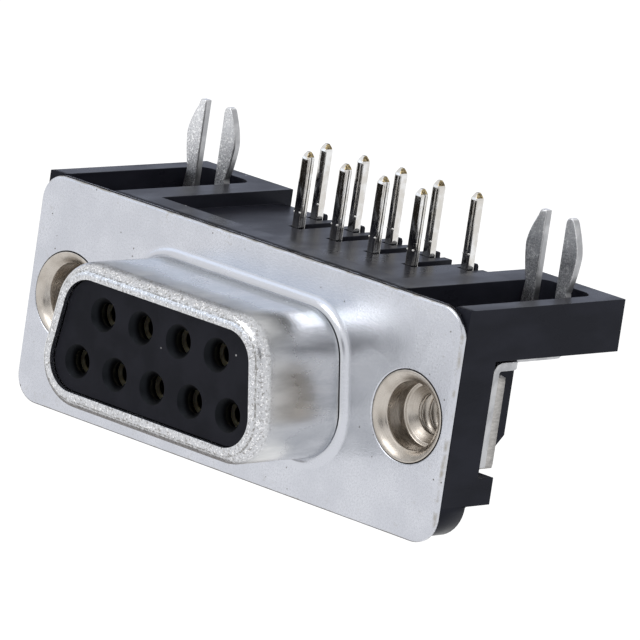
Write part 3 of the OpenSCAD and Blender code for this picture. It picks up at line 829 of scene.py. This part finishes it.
def lock_blank(flip):
    """Outline of the flat blank as (u, s) points from the middle of the strap, and its hole."""
    p = lock_stretches()
    leg_in, leg_out = lock_low.x - SCREW_X, lock_high.x - SCREW_X
    shoulder = p["leg"] + p["quarter"] + 1.55
    seat = p["leg"] + 2 * p["quarter"] + p["strap"] + SEAT_Z - p["strap_z"] - p["r"]
    top = seat + lock_high.z - SEAT_Z
    wide = seat + 2.0
    strap, root, bulge, tip, gap, r, hole_r = 1.65, 1.45, 1.82, 1.13, 0.7, 0.7, 2.04

    edge = [(strap + 0.1, shoulder)]
    edge += bezier((strap + 0.1, shoulder), (strap, shoulder), (strap, shoulder + 0.1), 3)
    edge += [(strap, seat - 2.6)] + bezier((strap, seat - 2.6), (strap, seat - 0.9), (root, seat + 0.1), 6)
    edge += bezier((root, seat + 0.1), (bulge - 0.06, wide - 0.9), (bulge, wide), 8)
    right = [(leg_out, 0), (leg_out, shoulder - r)]
    right += arc((leg_out - r, shoulder - r), r, 0, 90, 8)[1:] + edge
    left = [(leg_in, 0), (leg_in, shoulder - r)]
    left += arc((leg_in + r, shoulder - r), r, 168, 90, 6) + [(-u, s) for u, s in edge]

    rounded = bezier((bulge, wide), (bulge, wide + 0.6), (tip + 0.24, top - 0.4), 10)
    rounded += bezier((tip + 0.24, top - 0.4), (tip + 0.1, top), (gap + 0.32, top), 8)
    rounded += bezier((gap + 0.32, top), (gap + 0.02, top), (gap, top - 0.36), 8)
    cut = bezier((bulge, wide), (bulge, wide + 0.6), (tip + 0.12, top - 0.35), 10)
    cut += bezier((tip + 0.12, top - 0.35), (tip + 0.02, top - 0.02), (tip - 0.06, top), 3) + [(gap, top)]
    right_tip, left_tip = (cut, rounded) if flip else (rounded, cut)
    slot = arc((0, seat - 1.4), gap, 0, -180, 12)
    outline = right + right_tip + slot + [(-u, s) for u, s in left_tip[::-1]] + left[::-1]
    return outline, arc((0, -lock_low.z), hole_r, 0, 360, 48)[:-1]


def board_lock(side):
    """Bent bracket with a forked lock, made from its flat blank."""
    outline, hole = lock_blank(side < 0)
    outline = resample(outline, 0.22)
    grid, clear = 0.25, 0.12
    rows = ceil(max(s for _, s in outline) / grid)
    inner = [(u * grid, s * grid) for s in range(1, rows) for u in range(-12, 13)]
    inner = [p for p in inner if inside(Vector(p), outline) and not inside(Vector(p), hole)
             and nearest(p, outline + hole) > clear]
    points = [Vector(p) for p in outline + hole + inner]
    n, h = len(outline), len(hole)
    edges = [(i, (i + 1) % n) for i in range(n)] + [(n + i, n + (i + 1) % h) for i in range(h)]
    found, _, triangles, *_ = delaunay_2d_cdt(points, edges, [], 1, 1e-6)
    kept = []
    for t in triangles:
        middle = sum((found[i] for i in t), Vector((0, 0))) / 3
        if inside(middle, outline) and not inside(middle, hole):
            kept.append(tuple(t))
    count = len(found)
    verts = [lock_point(SCREW_X + p.x, p.y, lift) for lift in (LOCK_T / 2, -LOCK_T / 2) for p in found]
    faces = kept + [tuple(count + i for i in reversed(f)) for f in kept]
    sides = [(a, b) for f in kept for a, b in zip(f, f[1:] + f[:1])]
    inward = set(sides)
    faces += [(b, a, count + a, count + b) for a, b in sides if (b, a) not in inward]
    name = "left" if side < 0 else "right"
    piece = make_piece(f"lock_{name}", [(verts, faces, 0)], [METAL["lock"]], [f"board_lock_{name}"],
                       60, mirror_x=side < 0)
    bevel = piece.modifiers.new("rubbed_edges", "BEVEL")
    bevel.width = 0.07 * MM
    bevel.segments = 3
    bevel.limit_method = "ANGLE"
    bevel.angle_limit = radians(55)
    piece.modifiers.move(1, 0)
    return piece


def nearest(p, loop):
    """Distance from a point to the closest corner of an outline."""
    return min(hypot(p[0] - q[0], p[1] - q[1]) for q in loop)


def resample(outline, longest):
    """Splits an outline's long stretches, so that it can follow a bend."""
    points = []
    for a, b in zip(outline, outline[1:] + outline[:1]):
        parts = max(1, ceil(hypot(b[0] - a[0], b[1] - a[1]) / longest))
        points += [(a[0] + (b[0] - a[0]) * i / parts, a[1] + (b[1] - a[1]) * i / parts)
                   for i in range(parts)]
    return points


# ---------------------------------------------------------------- stage

def camera():
    """A long lens from the right and a little above, rolled as the object stands in its picture."""
    azimuth, elevation, roll = radians(42.085), radians(11.978), radians(8.431)
    distance, aim = 402.9, Vector((2.7694, 3.194, 2.4241))
    away = Vector((sin(azimuth) * cos(elevation), -cos(azimuth) * cos(elevation), sin(elevation)))
    data = bpy.data.cameras.new("camera")
    data.lens = 435.05
    data.sensor_width = 36
    data.clip_start, data.clip_end = 0.01, 10
    eye = bpy.data.objects.new("camera", data)
    bpy.context.scene.collection.objects.link(eye)
    turn = away.to_track_quat("Z", "Y").to_matrix() @ Matrix.Rotation(roll, 3, "Z")
    eye.matrix_world = Matrix.Translation((aim + away * distance) * MM) @ turn.to_4x4()
    bpy.context.scene.camera = eye


def world():
    """A white tent: plain white to the camera and in reflections, softer as light."""
    surround = bpy.data.worlds.new("tent")
    surround.use_nodes = True
    tree = surround.node_tree
    background = tree.nodes["Background"]
    background.inputs["Color"].default_value = (1, 1, 1, 1)
    path = tree.nodes.new("ShaderNodeLightPath")
    seen = path.outputs["Is Camera Ray"]
    for kind in ("Is Glossy Ray", "Is Transmission Ray"):
        larger = tree.nodes.new("ShaderNodeMath")
        larger.operation = "MAXIMUM"
        tree.links.new(seen, larger.inputs[0])
        tree.links.new(path.outputs[kind], larger.inputs[1])
        seen = larger.outputs[0]
    level = tree.nodes.new("ShaderNodeMapRange")
    level.inputs["To Min"].default_value = 0.8
    level.inputs["To Max"].default_value = 1.0
    tree.links.new(seen, level.inputs["Value"])
    tree.links.new(level.outputs["Result"], background.inputs["Strength"])
    bpy.context.scene.world = surround


def plain(name, colour, glow=0.0, glow_colour=(1, 1, 1), glow_when_seen=0.0):
    """A matt stage colour; glow_when_seen only adds light for the camera and for reflections."""
    m = Nodes(name)
    m.set(Base_Color=(*colour, 1), Roughness=1.0, Specular_IOR_Level=0.0)
    m.set(Emission_Color=(*glow_colour, 1), Emission_Strength=glow)
    if glow_when_seen:
        path = m.add("LightPath")
        seen = m.math("MAXIMUM", path.outputs["Is Camera Ray"], path.outputs["Is Glossy Ray"])
        seen = m.math("MAXIMUM", seen, path.outputs["Is Transmission Ray"])
        m.set(Emission_Strength=m.math("MULTIPLY", seen, glow_when_seen))
    return m.material


def sheet(name, material, centre, faces_to, width, height):
    """A flat stage sheet round a centre, turned to face a point."""
    mesh = bpy.data.meshes.new(name)
    w, h = width / 2 * MM, height / 2 * MM
    mesh.from_pydata([(-w, -h, 0), (w, -h, 0), (w, h, 0), (-w, h, 0)], [], [(0, 1, 2, 3)])
    mesh.materials.append(material)
    piece = bpy.data.objects.new(name, mesh)
    bpy.context.scene.collection.objects.link(piece)
    away = (Vector(faces_to) - Vector(centre)).normalized()
    turn = away.to_track_quat("Z", "Y").to_matrix()
    piece.matrix_world = Matrix.Translation(Vector(centre) * MM) @ turn.to_4x4()
    return piece


def reflected(piece):
    """Leaves a sheet to reflections alone: it shapes the metal and throws no shadow."""
    piece.visible_camera = False
    piece.visible_diffuse = False
    piece.visible_shadow = False


def card(name, direction, distance, width, height, **look):
    """A sheet round the part, in a direction from its middle, for reflections alone."""
    middle = Vector((2.8, 3.2, 2.4))
    centre = middle + Vector(direction).normalized() * distance
    reflected(sheet(name, plain(name, **look), centre, middle, width, height))


def stage():
    """A pale floor well below the part, and cards that shape the reflections."""
    black = (0, 0, 0)
    floor = plain("pale_floor", (0.86, 0.86, 0.86), glow_when_seen=0.4)
    sheet("floor", floor, (0, 0, -300), (0, 0, 0), 9000, 9000)
    # A dark strip just before the tails, so that their front sides are dark above the comb
    dark_strip = plain("tail_strip", (0.035, 0.03, 0.024))
    reflected(sheet("tail_strip", dark_strip, (0, 0.9, 7.75), (0, 20, 7.75), 34, 2.9))
    # Dark side of the room beside the lens, seen by the D's right wall and the flange next to it
    card("lens_side_card", (0.58, -0.726, 0.33), 350, 120, 130, colour=(0.30, 0.30, 0.31))
    # Greys for the upper and lower roundings that face left
    card("left_high_card", (-0.656, 0.42, 0.63), 220, 120, 90, colour=(0.42, 0.43, 0.46))
    card("left_low_card", (-0.656, 0.30, -0.69), 75, 70, 70, colour=(0.40, 0.38, 0.37))
    # Bluish light on the black rims, on the D's top and in the D's upper right corner
    card("back_left_card", (-0.656, 0.726, 0.24), 250, 260, 110, colour=black, glow=0.98,
         glow_colour=(0.76, 0.82, 1.0))
    card("front_left_card", (-0.656, -0.726, 0.26), 250, 170, 90, colour=black, glow=1.5,
         glow_colour=(0.85, 0.91, 1.0))
    card("high_front_card", (-0.17, -0.726, 0.66), 220, 130, 90, colour=black, glow=4.0)


METAL = {"burr": glint_pale_tin(), "insert": warm_nickel(), "foot": dull_nickel(), "socket": socket_brass(),
         "contact": bright_tin(), "cut": cut_brass(), "lock": dull_tin()}
front_shell()
for end in (-1, 1):
    threaded_insert(end)
    board_lock(end)
for place in range(1, 10):
    contact(place)

insulator_black = moulded("insulator_black", (0.0125, 0.0125, 0.0165), 0.38, 0.5, 0.9, 0.006, funnels=True)
housing_black = moulded("housing_black", (0.0125, 0.013, 0.0185), 0.27, 0.38, 0.7, 0.004)
for node, material, width in (("socket_insulator", insulator_black, 0.03),
                              ("rear_insulator", insulator_black, 0.05), ("housing", housing_black, 0.08)):
    piece = soften_edges(node, width)
    piece.data.materials.clear()
    piece.data.materials.append(material)

comb_nubs()
camera()
world()
stage()
scene = bpy.context.scene
scene.view_settings.view_transform = "Standard"
